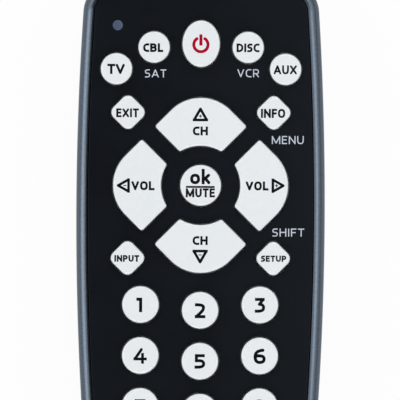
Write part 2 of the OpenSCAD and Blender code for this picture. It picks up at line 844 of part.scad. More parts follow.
// One unbroken tube along the spring's path
module spring() {
    p = spring_points;
    m = len(p);
    rings = [for (i = [0:m - 1])
        let(t = path_dir(p, i), out = unit([p[i][0], p[i][1], 0]))
        let(u = unit(out - (out * t) * t), v = cross(t, u))
        [for (s = [0:tube_sides - 1]) let(a = 360 * s / tube_sides)
            p[i] + wire_d / 2 * (cos(a) * u + sin(a) * v)]];
    points = [for (r = rings) each r];
    sides = [for (i = [0:m - 2]) for (s = [0:tube_sides - 1])
        let(a = i * tube_sides + s, b = i * tube_sides + (s + 1) % tube_sides)
        each [[a, b + tube_sides, b], [a, a + tube_sides, b + tube_sides]]];
    last = (m - 1) * tube_sides;
    ends = [for (s = [1:tube_sides - 2]) each [[0, s, s + 1], [last, last + s + 1, last + s]]];
    polyhedron(points, concat(sides, ends));
}

// Coil springs on the flat ends of the cells
module contact_springs() {
    color([0.78, 0.78, 0.8])
    union() {
        translate([-cell_pitch / 2, bay_end_y + contact_t, cell_z]) rotate([-90, 0, 0]) spring();
        translate([cell_pitch / 2, bay_start_y - contact_t, cell_z]) rotate([90, 0, 0]) spring();
    }
}

tip_gap = 0.6;
screw_tip_z = face_under - tip_gap;
slot_w = 0.7;
slot_depth = 0.8;
slot_half = 1.2;

// Two screws from the back into the front shell's bosses, each with a cross recess
module case_screws() {
    color([0.6, 0.6, 0.62])
    both_sides() translate([screw_x, screw_y, screw_seat_z]) difference() {
        rotate_extrude() polygon([
            [0, -screw_head_h], [screw_head_r, -screw_head_h], [screw_head_r, 0], [screw_r, 0],
            [screw_r, screw_tip_z - screw_seat_z], [0, screw_tip_z - screw_seat_z]
        ]);
        for (turn = [0, 90]) rotate(turn)
            translate([-slot_half, -slot_w / 2, -screw_head_h - 1])
                cube([2 * slot_half, slot_w, slot_depth + 1]);
    }
}

// Key cap with its flange and plunger
module key(k) {
    color([0.89, 0.91, 0.93])
    union() {
        translate(k[2]) rotate(k[3])
            if (is_round(k[1])) {
                rotate_extrude() polygon(concat(
                    [[0, flange_bot]],
                    [for (s = key_steps) [key_d(k[1]) / 2 + s[1], s[0]]],
                    [[0, key_top]]
                ));
            } else {
                loft([for (s = key_steps) key_outline(k[1], s[1])],
                    [for (s = key_steps) s[0]], plunger_at(k[1]));
            }
        at_plunger(k) translate([0, 0, plunger_bot])
            cylinder(r = plunger_r, h = flange_bot - plunger_bot + weld);
    }
}

front_shell();
rear_shell();
battery_door();
ir_window();
indicator_lens();
keypad_mat();
circuit_board();
contact_pads();
controller_chip();
resonator();
capacitor();
chip_components();
ir_diode();
indicator_diode();
battery_left();
battery_right();
positive_terminal();
negative_terminal();
link_contact();
contact_springs();
case_screws();
for (k = keys) key(k);
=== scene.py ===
import math
import bmesh
import bpy
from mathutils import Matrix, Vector


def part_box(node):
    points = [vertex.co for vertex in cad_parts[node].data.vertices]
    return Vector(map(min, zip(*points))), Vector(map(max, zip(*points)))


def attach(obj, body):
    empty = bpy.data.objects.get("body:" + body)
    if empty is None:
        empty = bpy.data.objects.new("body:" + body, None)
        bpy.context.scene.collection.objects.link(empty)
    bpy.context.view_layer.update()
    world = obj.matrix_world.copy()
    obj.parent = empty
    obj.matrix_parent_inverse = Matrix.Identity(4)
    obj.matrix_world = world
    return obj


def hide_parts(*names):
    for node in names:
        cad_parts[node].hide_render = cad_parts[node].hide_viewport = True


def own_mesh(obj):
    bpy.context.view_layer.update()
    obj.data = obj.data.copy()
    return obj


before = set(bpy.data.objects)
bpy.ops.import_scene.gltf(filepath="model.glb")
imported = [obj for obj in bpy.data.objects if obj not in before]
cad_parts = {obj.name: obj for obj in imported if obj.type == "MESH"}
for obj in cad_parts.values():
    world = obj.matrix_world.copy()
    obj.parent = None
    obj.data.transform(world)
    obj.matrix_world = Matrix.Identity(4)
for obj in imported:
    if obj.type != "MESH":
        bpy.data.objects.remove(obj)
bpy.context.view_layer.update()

mm = 0.001
tiny = 0.01  # mm, when faces, edges and points are told apart
same = 1e-6  # m, nearer points are one
weld = 0.3  # mm that joined shapes run into each other
past = 1  # mm that a cutting shape runs past what it cuts
far = 90  # mm from the middle, past either end of the case


# working by hand: selecting, extruding, insetting, cutting

def clearSelection():
    if bpy.context.object and bpy.context.object.mode != 'OBJECT':
        bpy.ops.object.mode_set(mode='OBJECT')
    bpy.ops.object.select_all(action='DESELECT')


def activate(piece):
    clearSelection()
    piece.select_set(True)
    bpy.context.view_layer.objects.active = piece


def editPiece(piece):
    activate(piece)
    bpy.ops.object.mode_set(mode='EDIT')


def namePiece(name):  # the active piece
    piece = bpy.context.object
    piece.name = piece.data.name = name
    return piece


def discard(piece):
    bpy.data.objects.remove(piece, do_unlink=True)


def applyPlace(turned=False, scaled=False):
    bpy.ops.object.transform_apply(location=True, rotation=turned, scale=scaled)


def startOutline(name, points, z):  # a filled circle whose corners go onto the outline
    clearSelection()
    bpy.ops.mesh.primitive_circle_add(vertices=len(points), radius=mm, fill_type='NGON')
    piece = namePiece(name)
    for corner, (x, y) in zip(piece.data.vertices, points):
        corner.co = (x * mm, y * mm, z * mm)
    bpy.ops.object.mode_set(mode='EDIT')
    bpy.ops.mesh.select_mode(type='FACE')
    bpy.ops.mesh.select_all(action='SELECT')
    return piece


def startBlock(name, low, high):  # corners in mm
    clearSelection()
    middle = [(a + b) / 2 * mm for a, b in zip(low, high)]
    bpy.ops.mesh.primitive_cube_add(size=1, location=middle)
    piece = namePiece(name)
    piece.scale = [(b - a) * mm for a, b in zip(low, high)]
    applyPlace(scaled=True)
    return piece


def startRod(name, radius, x, y, low, high, sides=48):
    clearSelection()
    bpy.ops.mesh.primitive_cylinder_add(vertices=sides, radius=radius * mm, depth=(high - low) * mm,
                                        location=(x * mm, y * mm, (low + high) / 2 * mm))
    piece = namePiece(name)
    applyPlace()
    return piece


def raiseBy(rise):  # extrudes the selected face up or down
    bpy.ops.mesh.extrude_region_move(TRANSFORM_OT_translate={"value": (0, 0, rise * mm)})


def insetBy(width, rise=0):
    bpy.ops.mesh.inset(thickness=width * mm, use_even_offset=True)
    if rise:
        bpy.ops.transform.translate(value=(0, 0, rise * mm))


def bevelBy(width, segments, profile=0.5):
    bpy.ops.mesh.select_mode(type='EDGE')
    bpy.ops.mesh.bevel(offset=width * mm, segments=segments, profile=profile, affect='EDGES',
                       clamp_overlap=False)
    bpy.ops.mesh.select_mode(type='FACE')


def pickLevel(piece, kind, z):  # every face or edge that lies at this height in mm
    bpy.ops.mesh.select_mode(type=kind)
    bpy.ops.mesh.select_all(action='DESELECT')
    shape = bmesh.from_edit_mesh(piece.data)
    for part in shape.faces if kind == 'FACE' else shape.edges:
        part.select_set(all(abs(corner.co.z / mm - z) < tiny for corner in part.verts))
    bmesh.update_edit_mesh(piece.data)


def closeShape():  # leaves edit mode with every face pointing out
    bpy.ops.mesh.select_all(action='SELECT')
    bpy.ops.mesh.normals_make_consistent(inside=False)
    bpy.ops.object.mode_set(mode='OBJECT')


def startSlab(name, points, low, high):  # upright sides
    piece = startOutline(name, points, low)
    raiseBy(high - low)
    closeShape()
    return piece


def mergePoints():  # of the whole piece, with the hairline faces that they leave
    bpy.ops.mesh.select_all(action='SELECT')
    bpy.ops.mesh.remove_doubles(threshold=same)
    bpy.ops.mesh.dissolve_degenerate(threshold=same)


def keepSide(piece, axis, at, above):  # cuts a closed piece with a plane and keeps one side
    editPiece(piece)
    bpy.ops.mesh.select_all(action='SELECT')
    normal = [int(axis == letter) for letter in 'XYZ']
    bpy.ops.mesh.bisect(plane_co=[n * at * mm for n in normal], plane_no=normal, use_fill=True,
                        clear_inner=above, clear_outer=not above, threshold=same)
    closeShape()


def combine(piece, tool, operation):
    activate(piece)
    bpy.ops.object.modifier_add(type='BOOLEAN')
    cut = piece.modifiers[-1]
    cut.operation, cut.solver, cut.object = operation, 'EXACT', tool
    bpy.ops.object.modifier_apply(modifier=cut.name)
    discard(tool)
    return piece


def addTo(piece, tool):
    return combine(piece, tool, 'UNION')


def cutFrom(piece, tool):
    return combine(piece, tool, 'DIFFERENCE')


def weldSlivers(piece):  # after many cuts
    editPiece(piece)
    mergePoints()
    bpy.ops.object.mode_set(mode='OBJECT')


def joinPieces(pieces, name):
    activate(pieces[0])
    for piece in pieces:
        piece.select_set(True)
    if len(pieces) > 1:
        bpy.ops.object.join()
    return namePiece(name)


def rodPair(name, radius, x, y, low, high):  # one on each side
    return joinPieces([startRod(name, radius, side * x, y, low, high) for side in (-1, 1)], name)


def crossBlock(name, half, start, stop, low, high):  # as far to the left as to the right
    return startBlock(name, (-half, start, low), (half, stop, high))


def copyOf(piece, name, x, y, turn=0):  # own mesh, place applied
    activate(piece)
    bpy.ops.object.duplicate(linked=False)
    copy = namePiece(name)
    copy.location = (x * mm, y * mm, 0)
    copy.rotation_euler = (0, 0, math.radians(turn))
    applyPlace(turned=True)
    return copy


def turnedPiece(name, profile, x, y, z=0, alongY=False, steps=48):  # spins (radius, height) points
    clearSelection()
    bpy.ops.mesh.primitive_circle_add(vertices=len(profile), radius=mm, fill_type='NOTHING')
    piece = namePiece(name)
    for corner, (radius, height) in zip(piece.data.vertices, profile):
        out, along = radius * mm, height * mm
        corner.co = (out, along, 0) if alongY else (out, 0, along)
    bpy.ops.object.mode_set(mode='EDIT')
    bpy.ops.mesh.select_all(action='SELECT')
    axis = (0, 1, 0) if alongY else (0, 0, 1)
    bpy.ops.mesh.spin(steps=steps, angle=math.tau, center=(0, 0, 0), axis=axis)
    mergePoints()
    closeShape()
    piece.location = (x * mm, y * mm, z * mm)
    applyPlace()
    return piece


def tubePiece(name, lines, width, roundness):  # lines of (points, closed); a point is x, y, z, thickness
    curve = bpy.data.curves.new(name, 'CURVE')
    curve.dimensions = '3D'
    curve.bevel_depth, curve.bevel_resolution = width / 2 * mm, roundness
    curve.use_fill_caps = True
    for points, closed in lines:
        line = curve.splines.new('POLY')
        line.use_cyclic_u = closed
        line.points.add(len(points) - 1)
        for point, (x, y, z, thick) in zip(line.points, points):
            point.co = (x * mm, y * mm, z * mm, 1)
            point.radius = thick
    tube = bpy.data.objects.new(name, curve)
    bpy.context.collection.objects.link(tube)
    activate(tube)
    bpy.ops.object.convert(target='MESH')
    return bpy.context.object


def finishPiece(piece, body, finish, standsFor=(), angle=35, even=False):
    activate(piece)
    bpy.ops.object.shade_smooth_by_angle(angle=math.radians(angle))
    if even:  # large flats keep their own normal beside a rounding
        bpy.ops.object.modifier_add(type='WEIGHTED_NORMAL')
        piece.modifiers[-1].keep_sharp = True
        bpy.ops.object.modifier_apply(modifier=piece.modifiers[-1].name)
    piece.data.materials.clear()
    piece.data.materials.append(finishes[finish])
    if standsFor:
        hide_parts(*standsFor)
    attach(piece, body)


# wiring nodes

def feed(tree, node, inputs):  # an input is a value or another node's output
    for label, given in inputs.items():
        if isinstance(given, bpy.types.NodeSocket):
            tree.links.new(given, node.inputs[label])
        else:
            node.inputs[label].default_value = given
    return node


def addNode(tree, kind, inputs=None, **settings):
    node = tree.nodes.new('ShaderNode' + kind)
    for label, value in settings.items():
        setattr(node, label, value)
    return feed(tree, node, inputs or {})


def addMath(tree, operation, *inputs):
    return addNode(tree, 'Math', dict(enumerate(inputs)), operation=operation).outputs[0]


# camera, floor and light

shot = {"centre": (-0.12, 36.97, 22), "width": 86.8, "away": 2160, "roll": 0.23, "sensor": 36, "clipEnd": 20}


def placeCamera():
    x, y, z = shot["centre"]
    clearSelection()
    bpy.ops.object.camera_add(location=(x * mm, y * mm, (z + shot["away"]) * mm),
                              rotation=(0, 0, math.radians(shot["roll"])))
    camera = bpy.context.object
    camera.data.sensor_width = shot["sensor"]
    camera.data.lens = shot["sensor"] * shot["away"] / shot["width"]
    camera.data.clip_end = shot["clipEnd"]
    bpy.context.scene.camera = camera


studio = {
    "floorSize": 12, "floorGlow": 0.94, "floorWhite": 0.95, "floorInShine": 0.63,
    # brightness of the surround by its height: walls, bright band, dark place overhead that leans left
    "surround": ((0.0, 0.40), (0.12, 0.44), (0.45, 0.93), (0.80, 1.10),
                 (0.885, 0.22), (0.93, 0.03), (1.0, 0.01)),
    "lean": 8.5,
    "boxes": ({"at": (-570, 40, 590), "size": (260, 700), "watts": 0.5},
              {"at": (350, 40, 740), "size": (200, 700), "watts": 0.32},
              {"at": (0, -640, 620), "size": (700, 300), "watts": 1.58},
              {"at": (0, 720, 620), "size": (700, 300), "watts": 1.30}),
}


def makeFloor():
    clearSelection()
    bpy.ops.mesh.primitive_plane_add(size=studio["floorSize"])
    floor = namePiece("floor")
    paper = bpy.data.materials.new("whitePaper")
    paper.use_nodes = True
    tree, inShine = paper.node_tree, studio["floorInShine"]
    tree.nodes.clear()
    path = addNode(tree, 'LightPath').outputs
    below = addNode(tree, 'NewGeometry').outputs["Backfacing"]
    seen = addMath(tree, 'MAXIMUM', path["Is Camera Ray"], path["Is Glossy Ray"])
    seenAll = addMath(tree, 'MAXIMUM', seen, path["Is Transmission Ray"])
    share = addMath(tree, 'MULTIPLY', seenAll, studio["floorGlow"])
    # white to the camera, grey in the case's shine
    level = addMath(tree, 'MULTIPLY_ADD', path["Is Camera Ray"], 1 - inShine, inShine)
    matte = addNode(tree, 'BsdfDiffuse', {"Color": (studio["floorWhite"],) * 3 + (1,)})
    glow = addNode(tree, 'Emission', {"Strength": level})
    clear = addNode(tree, 'BsdfTransparent')
    lit = addNode(tree, 'MixShader', {0: share, 1: matte.outputs[0], 2: glow.outputs[0]})
    sheet = addNode(tree, 'MixShader', {0: below, 1: lit.outputs[0], 2: clear.outputs[0]})
    addNode(tree, 'OutputMaterial', {0: sheet.outputs[0]})
    floor.data.materials.append(paper)


def lightStudio():
    world = bpy.data.worlds.new("studio")
    bpy.context.scene.world = world
    world.use_nodes = True
    tree, lean = world.node_tree, math.radians(studio["lean"])
    place = addNode(tree, 'TexCoord')
    up = (-math.sin(lean), 0, math.cos(lean))
    height = addNode(tree, 'VectorMath', {0: place.outputs["Generated"], 1: up}, operation='DOT_PRODUCT')
    ramp = addNode(tree, 'ValToRGB', {0: height.outputs["Value"]})
    stops = ramp.color_ramp.elements
    ready = len(stops)  # a new ramp has two
    for i, (at, level) in enumerate(studio["surround"]):
        stop = stops[i] if i < ready else stops.new(at)
        stop.position = at
        stop.color = (level, level, level, 1)
    feed(tree, tree.nodes["Background"], {"Color": ramp.outputs["Color"]})
    aim = Vector(shot["centre"])
    for box in studio["boxes"]:
        clearSelection()
        bpy.ops.object.light_add(type='AREA', location=[v * mm for v in box["at"]])
        lamp = bpy.context.object
        lamp.data.shape = 'RECTANGLE'
        lamp.data.size, lamp.data.size_y = [v * mm for v in box["size"]]
        lamp.data.energy = box["watts"]
        lamp.rotation_euler = (aim - Vector(box["at"])).to_track_quat('-Z', 'Y').to_euler()
        lamp.visible_camera = False


bpy.context.scene.view_settings.view_transform = 'Standard'
placeCamera()
makeFloor()
lightStudio()
print("camera, floor and light set")


# finishes

grainLook = {"patchDetail": 4, "grainDetail": 2, "spread": (0.35, 0.65), "depth": 0.2}


def buildGrainGroup():  # fine moulded grain over slow patches, shared by every finish
    group = bpy.data.node_groups.new("surfaceGrain", 'ShaderNodeTree')
    sockets = {'INPUT': ("Colour", "Patch Colour", "Patch Scale", "Grain Scale", "Smooth", "Rough"),
               'OUTPUT': ("Colour", "Roughness", "Height")}
    for way, labels in sockets.items():
        for label in labels:
            kind = 'NodeSocketColor' if "Colour" in label else 'NodeSocketFloat'
            group.interface.new_socket(label, in_out=way, socket_type=kind)
    given, made = group.nodes.new('NodeGroupInput').outputs, group.nodes.new('NodeGroupOutput')
    place = addNode(group, 'TexCoord').outputs["Object"]
    patch = addNode(group, 'TexNoise', {
        "Vector": place, "Scale": given["Patch Scale"], "Detail": grainLook["patchDetail"]})
    grain = addNode(group, 'TexNoise', {
        "Vector": place, "Scale": given["Grain Scale"], "Detail": grainLook["grainDetail"]})
    low, high = grainLook["spread"]  # noise gathers round a half, so it is widened
    spread = addNode(group, 'MapRange', {
        "Value": patch.outputs["Fac"], "From Min": low, "From Max": high}).outputs["Result"]
    tint = addNode(group, 'Mix', {
        "Factor": spread, "A": given["Colour"], "B": given["Patch Colour"]}, data_type='RGBA')
    shine = addNode(group, 'MapRange', {
        "Value": spread, "To Min": given["Smooth"], "To Max": given["Rough"]})
    feed(group, made, {"Colour": tint.outputs["Result"], "Roughness": shine.outputs["Result"],
                       "Height": grain.outputs["Fac"]})
    return group


grainGroup = buildGrainGroup()


def newFinish(name, colour, patchColour, patchMm, grainMm, smooth, rough, bump, sockets=None, camber=0):
    finish = bpy.data.materials.new(name)
    finish.use_nodes = True
    tree = finish.node_tree
    grain = addNode(tree, 'Group', {
        "Colour": (*colour, 1), "Patch Colour": (*patchColour, 1), "Smooth": smooth, "Rough": rough,
        "Patch Scale": 1 / (patchMm * mm), "Grain Scale": 1 / (grainMm * mm)}, node_tree=grainGroup)
    relief = addNode(tree, 'Bump', {"Strength": bump, "Distance": grainMm * mm * grainLook["depth"],
                                    "Height": grain.outputs["Height"]})
    if camber:  # radius in mm of a slow fall to both sides, too slight to model
        place = addNode(tree, 'TexCoord')
        across = addNode(tree, 'SeparateXYZ', {0: place.outputs["Object"]}).outputs["X"]
        fall = addMath(tree, 'MULTIPLY', addMath(tree, 'MULTIPLY', across, across), -0.5 / (camber * mm))
        slope = addNode(tree, 'Bump', {"Strength": 1, "Distance": 1, "Height": fall})
        feed(tree, relief, {"Normal": slope.outputs["Normal"]})
    feed(tree, tree.nodes["Principled BSDF"], {
        "Base Color": grain.outputs["Colour"], "Roughness": grain.outputs["Roughness"],
        "Normal": relief.outputs["Normal"], **(sockets or {})})
    return finish


looks = {  # name, colour, patch colour, patch and grain in mm, smooth, rough, bump, sockets, camber
    "face": ("satinBlackFace", (0.0058, 0.007, 0.0094), (0.0066, 0.0082, 0.0112), 14, 0.22, 0.26, 0.32, 0.06,
             {"Specular IOR Level": 0.15, "Specular Tint": (0.75, 0.88, 1, 1)}, 500),
    "case": ("gunmetalPaint", (0.12, 0.152, 0.195), (0.16, 0.197, 0.246), 0.35, 0.16, 0.12, 0.18, 0.1,
             {"Metallic": 0.92}),
    "key": ("whiteKeyPlastic", (0.842, 0.88, 0.91), (0.848, 0.885, 0.914), 9, 0.25, 0.24, 0.3, 0.03,
            {"Specular IOR Level": 0.6, "Coat Weight": 0.8, "Coat Roughness": 0.12}),
    "ink": ("darkKeyPrint", (0.003, 0.0042, 0.0056), (0.004, 0.0054, 0.007), 2, 0.12, 0.45, 0.55, 0.1,
            {"Specular IOR Level": 0.06}),
    "redInk": ("redPowerPrint", (0.39, 0, 0.016), (0.415, 0.001, 0.019), 2, 0.12, 0.42, 0.52, 0.1,
               {"Specular IOR Level": 0.06}),
    "faceInk": ("paleFacePrint", (0.545, 0.605, 0.695), (0.595, 0.655, 0.745), 2, 0.12, 0.45, 0.55, 0.1,
                {"Specular IOR Level": 0.25}),
    "window": ("darkInfraredPlastic", (0.012, 0.003, 0.005), (0.016, 0.004, 0.006), 9, 0.5,
               0.05, 0.09, 0.03),
    "lens": ("smokedLens", (0.066, 0.092, 0.15), (0.078, 0.106, 0.172), 1.2, 0.3, 0.3, 0.38, 0.04,
             {"Specular IOR Level": 0.3}),
    "rubber": ("matRubber", (0.55, 0.55, 0.52), (0.6, 0.6, 0.57), 5, 0.3, 0.62, 0.74, 0.15,
               {"Specular IOR Level": 0.3}),
    "board": ("boardMask", (0.02, 0.105, 0.035), (0.035, 0.16, 0.055), 2.2, 0.4, 0.28, 0.4, 0.2),
    "carbon": ("carbonPads", (0.02, 0.02, 0.022), (0.035, 0.035, 0.037), 0.8, 0.1, 0.55, 0.7, 0.3),
    "chip": ("chipBody", (0.012, 0.012, 0.013), (0.02, 0.02, 0.021), 1.5, 0.12, 0.5, 0.62, 0.25),
    "resonator": ("resonatorCase", (0.03, 0.09, 0.26), (0.045, 0.12, 0.32), 1.4, 0.2, 0.35, 0.48, 0.15),
    "sleeve": ("capacitorSleeve", (0.012, 0.016, 0.06), (0.018, 0.024, 0.085), 1.6, 0.3, 0.22, 0.32, 0.06),
    "ceramic": ("chipCeramic", (0.3, 0.25, 0.18), (0.35, 0.3, 0.22), 0.7, 0.1, 0.45, 0.6, 0.2),
    "diode": ("infraredEpoxy", (0.2, 0.25, 0.42), (0.24, 0.29, 0.47), 2, 0.4, 0.06, 0.12, 0.03),
    "indicator": ("indicatorEpoxy", (0.52, 0.03, 0.02), (0.6, 0.045, 0.03), 0.6, 0.2, 0.18, 0.28, 0.05),
    "jacket": ("cellJacket", (0.016, 0.03, 0.06), (0.022, 0.04, 0.078), 5, 0.5, 0.16, 0.24, 0.03),
    "band": ("cellBand", (0.56, 0.58, 0.6), (0.62, 0.64, 0.66), 4, 0.4, 0.22, 0.3, 0.04, {"Metallic": 0.8}),
    "nickel": ("nickelPlate", (0.56, 0.545, 0.51), (0.64, 0.625, 0.59), 3, 0.2, 0.18, 0.32, 0.08,
               {"Metallic": 1}),
    "steel": ("screwSteel", (0.34, 0.345, 0.36), (0.42, 0.425, 0.44), 1.2, 0.1, 0.24, 0.4, 0.18,
              {"Metallic": 1}),
}
finishes = {use: newFinish(*look) for use, look in looks.items()}
print("finishes mixed:", len(finishes))


# the case's outline, drawn as the solids have it

caseShape = {
    "length": 172, "width": 54, "height": 22, "widestAt": 51.6, "sideRadius": 683, "taperAt": 106,
    "topArch": 150, "topCorner": 7.3, "endArch": 40, "endCorner": 10,
    "rimRound": 2.2, "rimProfile": 0.46, "backRound": 5, "wall": 2.35, "floor": 1.8,
    "coveHeight": 4, "coveStep": 1.85, "steps": {"arch": 14, "corner": 14, "side": 40, "round": 10},
}


def arcPoints(centre, radius, start, stop, steps, first=0):
    turns = [start + (stop - start) * i / steps for i in range(first, steps + 1)]
    return [(centre[0] + radius * math.cos(a), centre[1] + radius * math.sin(a)) for a in turns]


def heading(start, stop):
    return math.atan2(stop[1] - start[1], stop[0] - start[0])


def mirrored(half):  # a right half from bottom to top, with its left half added
    return half + [(-x, y) for x, y in half[-2:0:-1]]


def caseOutline(inset):
    c, steps = caseShape, caseShape["steps"]
    top, end = c["length"] / 2, -c["length"] / 2
    side = Vector((c["width"] / 2 - c["sideRadius"], top - c["widestAt"]))
    topArch, endArch = Vector((0, top - c["topArch"])), Vector((0, end + c["endArch"]))
    taper = math.asin((c["widestAt"] - c["taperAt"]) / c["sideRadius"])
    out, along = Vector((math.cos(taper), math.sin(taper))), Vector((math.sin(taper), -math.cos(taper)))
    reach = c["sideRadius"] - c["endCorner"] - (endArch - side).dot(out)
    drop = math.sqrt((c["endArch"] - c["endCorner"]) ** 2 - reach ** 2)
    endCorner = endArch + reach * out + drop * along
    a, b = c["topArch"] - c["topCorner"], c["sideRadius"] - c["topCorner"]
    gap = (side - topArch).length
    towards = (side - topArch) / gap
    t = (a * a - b * b + gap * gap) / (2 * gap)
    topCorner = topArch + t * towards + math.sqrt(a * a - t * t) * Vector((towards.y, -towards.x))
    endTurn, sideTurn = heading(endArch, endCorner), heading(side, topCorner)
    archTurn = heading(topArch, topCorner)
    half = (arcPoints(endArch, c["endArch"] - inset, -math.pi / 2, endTurn, steps["arch"])
            + arcPoints(endCorner, c["endCorner"] - inset, endTurn, taper, steps["corner"], 1)
            + arcPoints(side, c["sideRadius"] - inset, taper, sideTurn, steps["side"])
            + arcPoints(topCorner, c["topCorner"] - inset, sideTurn, archTurn, steps["corner"], 1)
            + arcPoints(topArch, c["topArch"] - inset, archTurn, math.pi / 2, steps["arch"], 1))
    return mirrored(half)


def caseSlab(name, inset, low, high):
    return startSlab(name, caseOutline(inset), low, high)


def caseForm(name):  # the closed outside: the tub and the door are both cut from it
    c = caseShape
    form = startOutline(name, caseOutline(0), 0)
    raiseBy(c["height"])
    bevelBy(c["rimRound"], c["steps"]["round"], c["rimProfile"])
    pickLevel(form, 'EDGE', 0)
    bevelBy(c["backRound"], c["steps"]["round"])
    closeShape()
    return form


# rear shell

bay = {"halfWidth": 11.35, "end": -81.0, "start": -29.7, "wall": 1.2, "ceiling": 14.7, "deckTop": 15.9,
       "guide": (3.25, 4.45), "bulkhead": (-28.3, -27.3)}
terminalSlot = {"x": 5.6, "width": 2.6, "deep": 0.8, "over": 0.2}
doorway = {"halfWidth": 14.7, "railHalfWidth": 16.2, "start": -28.3, "lipStart": -82.2, "lipTop": 8.2}
screwHole = {"x": 9, "y": 60.5, "post": 3.2, "bore": 1.15, "head": 2.3, "seat": 11}
windowHole = {"halfWidth": 10.05, "low": 7.85, "high": 14.95}
boardPost = {"radius": 1.8, "x": 19, "ys": (20, -6)}


def hollowCase():  # the shell with its cove along the foot of the wall
    c = caseShape
    tub = caseForm("rear_shell_tub")
    editPiece(tub)
    pickLevel(tub, 'FACE', c["height"])
    insetBy(c["wall"] - c["rimRound"])
    raiseBy(c["coveHeight"] - c["height"])
    insetBy(c["coveStep"])
    raiseBy(c["floor"] - c["coveHeight"])
    bpy.ops.object.mode_set(mode='OBJECT')
    return tub


def fitBay(tub):  # battery bay, its deck and bulkhead, and the posts
    inset, foot = caseShape["wall"] - weld, caseShape["floor"] - weld
    wide, wall, ceiling, deckTop = bay["halfWidth"], bay["wall"], bay["ceiling"], bay["deckTop"]
    behind, front = bay["bulkhead"]
    guide = caseSlab("guide", inset, *bay["guide"])  # carries the door's rails
    keepSide(guide, 'Y', front, above=False)
    addTo(tub, guide)
    addTo(tub, crossBlock("bayWalls", wide + wall, bay["end"] - wall, bay["start"] + wall,
                          bay["guide"][0], ceiling + weld))
    cutFrom(tub, crossBlock("bayRoom", wide, bay["end"], bay["start"], 0, ceiling))
    deck = caseSlab("deck", inset, ceiling, deckTop)
    keepSide(deck, 'Y', front, above=False)
    addTo(tub, deck)
    bulkhead = caseSlab("bulkhead", inset, foot, ceiling + weld)
    keepSide(bulkhead, 'Y', front, above=False)
    keepSide(bulkhead, 'Y', behind, above=True)
    addTo(tub, bulkhead)
    addTo(tub, rodPair("screwPost", screwHole["post"], screwHole["x"], screwHole["y"], foot, deckTop))
    for y in boardPost["ys"]:
        addTo(tub, rodPair("boardPost", boardPost["radius"], boardPost["x"], y, foot, deckTop))


def cutOpenings(tub):  # room for the door, terminals, screws and window
    d, s, h, w = doorway, terminalSlot, screwHole, windowHole
    roof = bay["guide"][0]
    cutFrom(tub, crossBlock("doorRoom", d["halfWidth"], -far, d["start"], -past, roof))
    cutFrom(tub, crossBlock("railRoom", d["railHalfWidth"], -far, d["start"], caseShape["floor"], roof))
    cutFrom(tub, crossBlock("lipRoom", d["halfWidth"], -far, d["lipStart"], -past, d["lipTop"]))
    half, back = s["width"] / 2, bay["start"] + s["over"]
    low, high = bay["ceiling"] - past, bay["deckTop"] + past
    slots = [startBlock("slot", (x - half, back - s["deep"], low), (x + half, back, high))
             for x in (-s["x"], s["x"])]
    cutFrom(tub, joinPieces(slots, "slots"))
    for radius, top in ((h["bore"], caseShape["height"]), (h["head"], h["seat"])):
        cutFrom(tub, rodPair("screwBore", radius, h["x"], h["y"], -past, top))
    cutFrom(tub, crossBlock("windowRoom", w["halfWidth"], h["y"], far, w["low"], w["high"]))


def makeTub():
    tub = hollowCase()
    fitBay(tub)
    cutOpenings(tub)
    weldSlivers(tub)
    finishPiece(tub, "case", "case", ["rear_shell"], even=True)


makeTub()
print("rear shell made")


# battery door

door = {"halfWidth": 14.5, "start": -28.5, "thick": 1.7, "railIn": 2, "railOut": 1.5, "rail": (2.0, 3.05),
        "lipStart": -82.4, "lipTop": 8, "grooves": 5, "grooveHalf": 7, "grooveWidth": 1, "grooveDeep": 0.5,
        "groovePitch": 2.2, "grooveFrom": 7}


def makeDoor():
    d, (low, high) = door, door["rail"]
    wide, start = d["halfWidth"], d["start"]
    inner, outer = wide - d["railIn"], wide + d["railOut"]
    plan = crossBlock("doorPlan", wide, -far, start, -past, d["thick"])
    for side in (-1, 1):
        for edge, foot in ((wide, d["thick"] - weld), (outer, low)):  # foot, then rail
            left, right = sorted((side * inner, side * edge))
            addTo(plan, startBlock("rail", (left, -far, foot), (right, start, high)))
    addTo(plan, crossBlock("lip", wide, -far, d["lipStart"], -past, d["lipTop"]))
    panel = combine(caseForm("battery_door_panel"), plan, 'INTERSECT')
    grooves = []
    for i in range(d["grooves"]):
        y = start - d["grooveFrom"] - i * d["groovePitch"]
        back = y - d["grooveWidth"]
        grooves.append(crossBlock("groove", d["grooveHalf"], back, y, -past, d["grooveDeep"]))
    cutFrom(panel, joinPieces(grooves, "grooves"))
    weldSlivers(panel)
    finishPiece(panel, "battery_door", "case", ["battery_door"], even=True)


makeDoor()
print("battery door made")


# keys

keyCap = {"gap": 0.25, "flange": 0.7, "flangeLow": 19.0, "flangeTop": 20.0, "top": 23.58, "edge": 0.5,
          "edgeSteps": 5, "plunger": 1.6, "plungerLow": 18.15, "plungerSides": 32}
keySizes = {"number": 8, "small": 6.85, "ok": 8.9, "oval": (8.15, 10.15), "diamond": (6.08, 1.6),
            "arm": {"half": 22.78, "tip": 9.1, "inner": 8.57, "gap": 3.9, "corner": 0.55, "middle": 13.6}}
keySteps = {"round": 64, "oval": 72, "diamondCorner": 10,
            "armInner": 10, "armNear": 6, "armOuter": 8, "armTip": 14}
keyNames = {
    "oval": ["power"], "ok": ["ok"],
    "small": ["tv", "cable", "disc", "aux", "rewind", "play", "forward", "record", "stop", "pause"],
    "diamond": ["exit", "info", "input", "setup"],
    "arm": ["channel_up", "volume_down", "channel_down", "volume_up"],
    "number": ["1", "2", "3", "4", "5", "6", "7", "8", "9", "dash", "0", "enter"],
}


def keyTurn(name):  # the arms are one shape, turned
    arms = keyNames["arm"]
    return 90 * arms.index(name) if name in arms else 0


